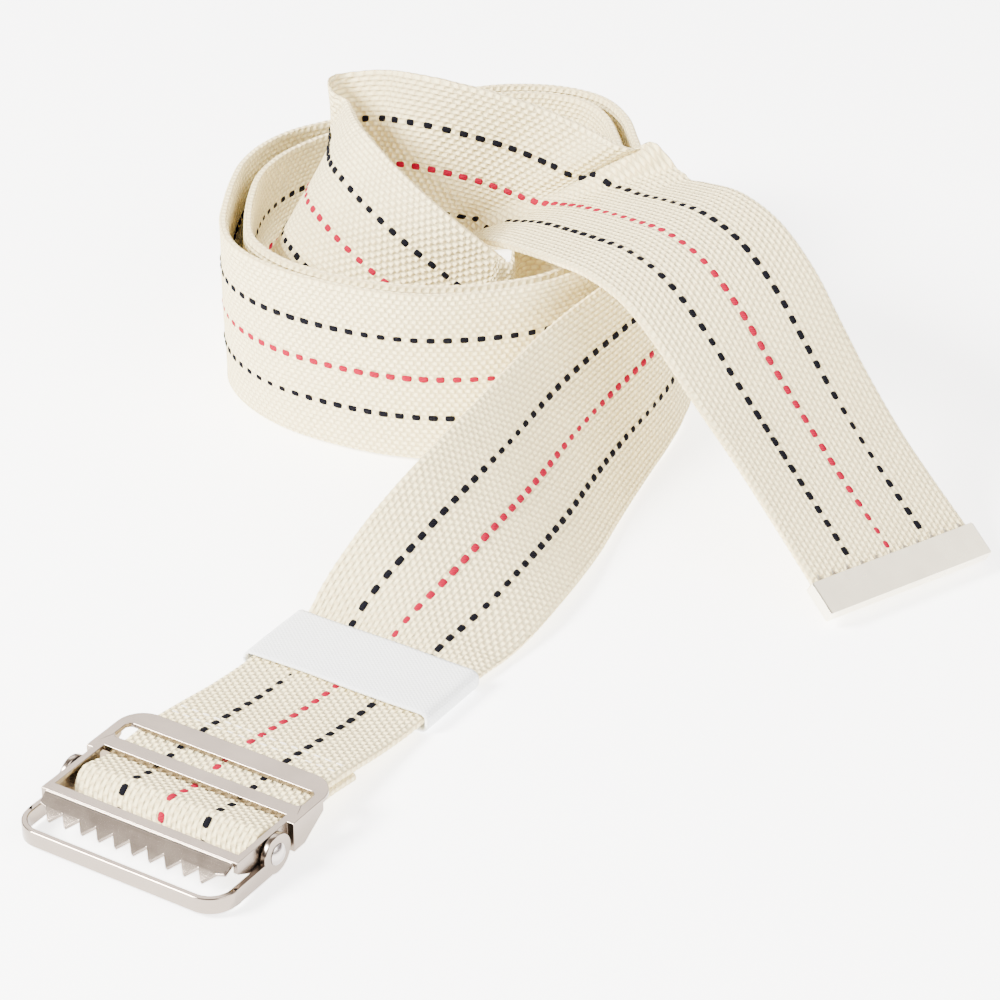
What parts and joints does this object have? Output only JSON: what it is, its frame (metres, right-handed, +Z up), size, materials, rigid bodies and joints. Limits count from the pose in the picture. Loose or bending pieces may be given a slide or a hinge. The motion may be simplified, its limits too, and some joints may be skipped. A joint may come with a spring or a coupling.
{
  "type": "gait belt",
  "caption": "Cotton webbing transfer belt laid in a loose coil, with a toothed friction buckle, a sliding keeper band and a crimped metal end tip.",
  "frame": {"origin": "centre of the keeper band's flat underside, on the surface the belt lies on", "axes": "+X along the belt's straight length, from the buckle to the coil; +Y along the buckle's pin; +Z up"},
  "size_m": [0.3247, 0.2399, 0.0801],
  "materials": {
    "cotton_webbing": "cream woven cotton",
    "sewing_thread": "cream thread",
    "tip_metal": "nickel plated",
    "keeper_cotton": "white woven tape",
    "bail_metal": "nickel plated",
    "lever_metal": "nickel plated",
    "pin_metal": "nickel plated"
  },
  "bodies": {
    "belt": {"webbing": "cotton_webbing", "loop_stitching": "sewing_thread", "strap_tip": "tip_metal"},
    "lever": {"lever_plate": "lever_metal", "pivot_pin": "pin_metal"},
    "bail": {"bail": "bail_metal"},
    "keeper": {"keeper_band": "keeper_cotton"}
  },
  "joints": [
    {"name": "lever_hinge", "type": "hinge", "parent": "belt", "child": "lever", "pos_m": [-0.076, 0, 0.0056], "axis": [0, -1, 0], "range_deg": [0, 75]},
    {"name": "bail_hinge", "type": "hinge", "parent": "lever", "child": "bail", "pos_m": [-0.076, 0, 0.0056], "axis": [0, 1, 0], "range_deg": [-60, 50]},
    {"name": "keeper_slide", "type": "slide", "parent": "belt", "child": "keeper", "axis": [1, 0, 0], "range_m": [-0.003, 0.001]}
  ]
}
